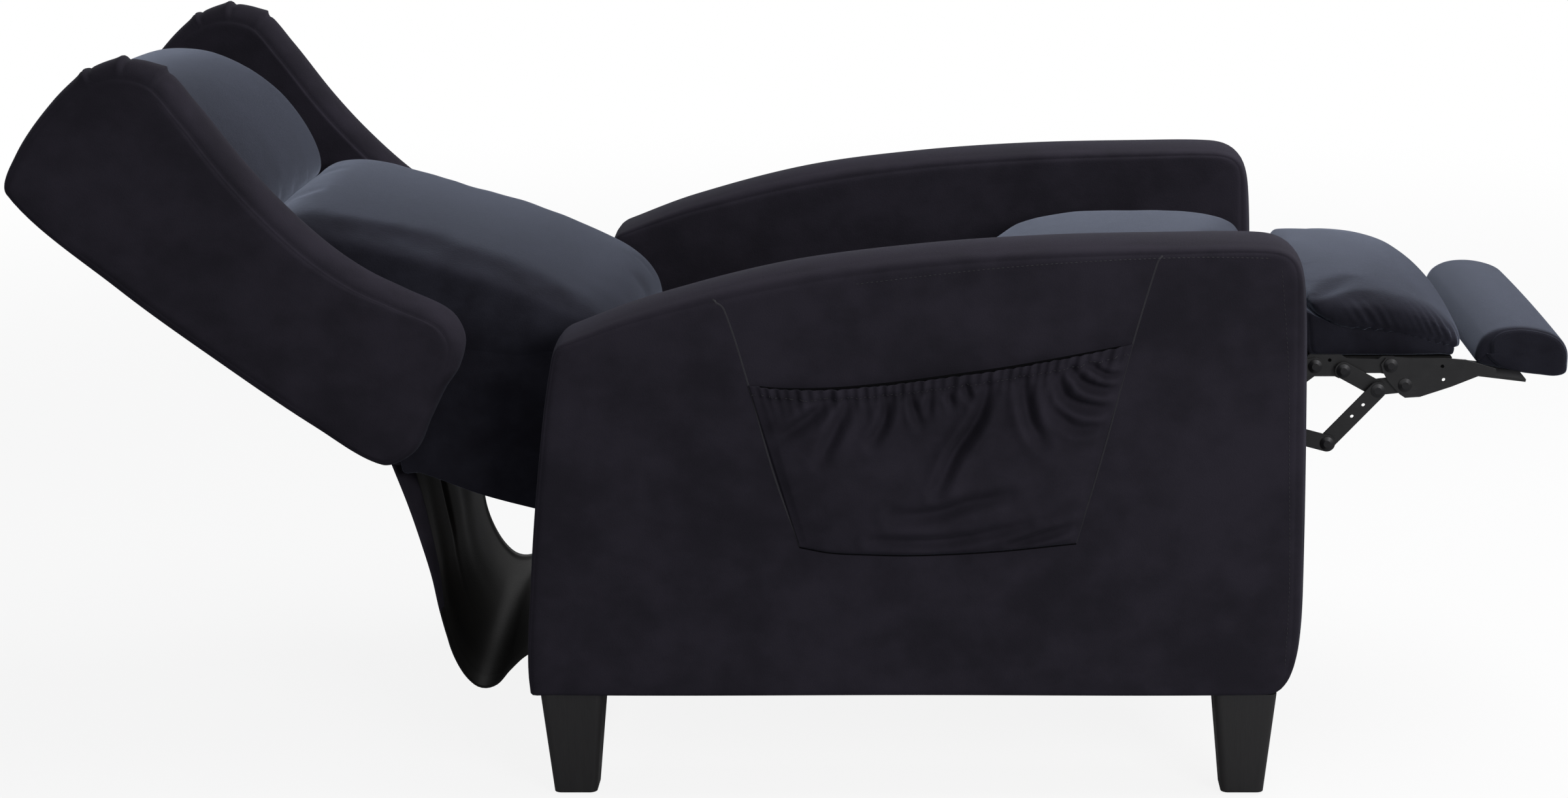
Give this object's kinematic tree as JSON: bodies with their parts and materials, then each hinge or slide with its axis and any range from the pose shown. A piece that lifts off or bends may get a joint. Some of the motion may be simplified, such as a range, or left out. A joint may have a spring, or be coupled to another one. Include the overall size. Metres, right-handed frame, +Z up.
{
  "type": "wingback push-back recliner",
  "caption": "Dark velvet wingback recliner, leaned back with its two-part footrest out on a riveted steel linkage; tapered legs and a side pocket.",
  "frame": {"origin": "on the floor, below the middle of the leaned-back chair", "axes": "+X forward towards the footrest, +Y to the sitter's left, +Z up"},
  "size_m": [1.6671, 0.7149, 0.784],
  "materials": {
    "velvet_dark": "matte",
    "velvet_seat": "matte",
    "backing_cloth": "satin",
    "timber": "matte",
    "leg_wood": "satin",
    "glide_plastic": "matte",
    "black_steel": "satin",
    "rivet_steel": "satin",
    "bright_steel": "satin"
  },
  "bodies": {
    "base": {"right_arm_cover": "velvet_dark", "left_arm_cover": "velvet_dark", "right_arm_frame": "timber", "left_arm_frame": "timber", "right_arm_pocket": "velvet_dark", "middle_rail": "timber", "rear_rail": "timber", "right_front_leg": "leg_wood", "left_front_leg": "leg_wood", "right_rear_leg": "leg_wood", "left_rear_leg": "leg_wood", "leg_bolts": "bright_steel", "leg_glides": "glide_plastic", "right_base_rail": "black_steel", "left_base_rail": "black_steel", "base_rail_bolts": "bright_steel", "base_rivets": "rivet_steel", "rear_sling": "backing_cloth"},
    "rear_swing_link": {"rear_swing_links": "black_steel"},
    "front_swing_link": {"front_swing_links": "black_steel"},
    "recline_link": {"recline_links": "black_steel"},
    "seat": {"seat_frame": "timber", "seat_front_board": "timber", "seat_springs": "bright_steel", "seat_cushion": "velvet_seat", "right_seat_rail": "black_steel", "left_seat_rail": "black_steel", "seat_cross_tube": "black_steel", "seat_rivets": "rivet_steel"},
    "back": {"back_frame": "timber", "back_panel": "velvet_dark", "right_wing": "velvet_dark", "left_wing": "velvet_dark", "head_cushion": "velvet_seat", "lumbar_cushion": "velvet_seat", "back_straps": "backing_cloth", "right_back_bracket": "black_steel", "left_back_bracket": "black_steel", "back_rivets": "rivet_steel"},
    "upper_link": {"upper_links": "black_steel"},
    "lower_link": {"lower_links": "black_steel", "lower_link_rivets": "rivet_steel"},
    "ottoman": {"ottoman_board": "timber", "ottoman_pad": "velvet_seat", "right_ottoman_bracket": "black_steel", "left_ottoman_bracket": "black_steel", "ottoman_rivets": "rivet_steel"},
    "crank": {"flap_cranks": "black_steel", "crank_rivets": "rivet_steel"},
    "flap_link": {"flap_links": "black_steel"},
    "riser": {"riser_links": "black_steel"},
    "flap": {"flap_board": "timber", "flap_pad": "velvet_seat", "right_flap_bracket": "black_steel", "left_flap_bracket": "black_steel", "flap_rivets": "rivet_steel"}
  },
  "joints": [
    {"name": "back_recline", "type": "hinge", "parent": "seat", "child": "back", "pos_m": [-0.2, 0, 0.38], "axis": [0, 1, 0], "range_deg": [0, 50]},
    {"name": "rear_swing_turn", "type": "hinge", "parent": "base", "child": "rear_swing_link", "pos_m": [-0.05226, 0, 0.26538], "axis": [0, 1, 0], "range_deg": [-26.8, 0]},
    {"name": "seat_turn", "type": "hinge", "parent": "rear_swing_link", "child": "seat", "pos_m": [-0.06, 0, 0.345], "axis": [0, 1, 0], "range_deg": [0, 26.8]},
    {"name": "front_swing_turn", "type": "hinge", "parent": "base", "child": "front_swing_link", "pos_m": [0.33774, 0, 0.26538], "axis": [0, 1, 0], "range_deg": [-26.8, 0]},
    {"name": "recline_link_turn", "type": "hinge", "parent": "base", "child": "recline_link", "pos_m": [-0.2412, 0, 0.265], "axis": [0, 1, 0], "range_deg": [-95.62, 0]},
    {"name": "upper_link_turn", "type": "hinge", "parent": "seat", "child": "upper_link", "pos_m": [0.46569, 0, 0.4315], "axis": [0, 1, 0], "range_deg": [0, 126.5]},
    {"name": "ottoman_turn", "type": "hinge", "parent": "upper_link", "child": "ottoman", "pos_m": [0.55, 0, 0.449], "axis": [0, 1, 0], "range_deg": [-36.5, 0]},
    {"name": "flap_turn", "type": "hinge", "parent": "ottoman", "child": "flap", "pos_m": [0.6315, 0, 0.45], "axis": [0, 1, 0], "range_deg": [0, 80.05]},
    {"name": "crank_turn", "type": "hinge", "parent": "ottoman", "child": "crank", "pos_m": [0.5802, 0, 0.445], "axis": [0, 1, 0], "range_deg": [0, 41.61]},
    {"name": "flap_link_turn", "type": "hinge", "parent": "crank", "child": "flap_link", "pos_m": [0.6168, 0, 0.4248], "axis": [0, 1, 0], "range_deg": [-88.33, 0]},
    {"name": "riser_turn", "type": "hinge", "parent": "crank", "child": "riser", "pos_m": [0.6168, 0, 0.4248], "axis": [0, 1, 0], "range_deg": [0, 138.92]},
    {"name": "lower_link_turn", "type": "hinge", "parent": "seat", "child": "lower_link", "pos_m": [0.414, 0, 0.4074], "axis": [0, 1, 0], "range_deg": [0, 63.85]}
  ],
  "couplings": [
    {"joint": "rear_swing_turn", "follows": "back_recline", "ratio": -0.535},
    {"joint": "seat_turn", "follows": "back_recline", "ratio": 0.535},
    {"joint": "front_swing_turn", "follows": "back_recline", "ratio": -0.535},
    {"joint": "recline_link_turn", "follows": "back_recline", "ratio": -1.9115},
    {"joint": "upper_link_turn", "follows": "back_recline", "ratio": 2.5291},
    {"joint": "ottoman_turn", "follows": "back_recline", "ratio": -0.72906},
    {"joint": "flap_turn", "follows": "back_recline", "ratio": 1.6},
    {"joint": "crank_turn", "follows": "back_recline", "ratio": 0.83115},
    {"joint": "flap_link_turn", "follows": "back_recline", "ratio": -1.7656},
    {"joint": "riser_turn", "follows": "back_recline", "ratio": 2.7775},
    {"joint": "lower_link_turn", "follows": "back_recline", "ratio": 1.276}
  ]
}
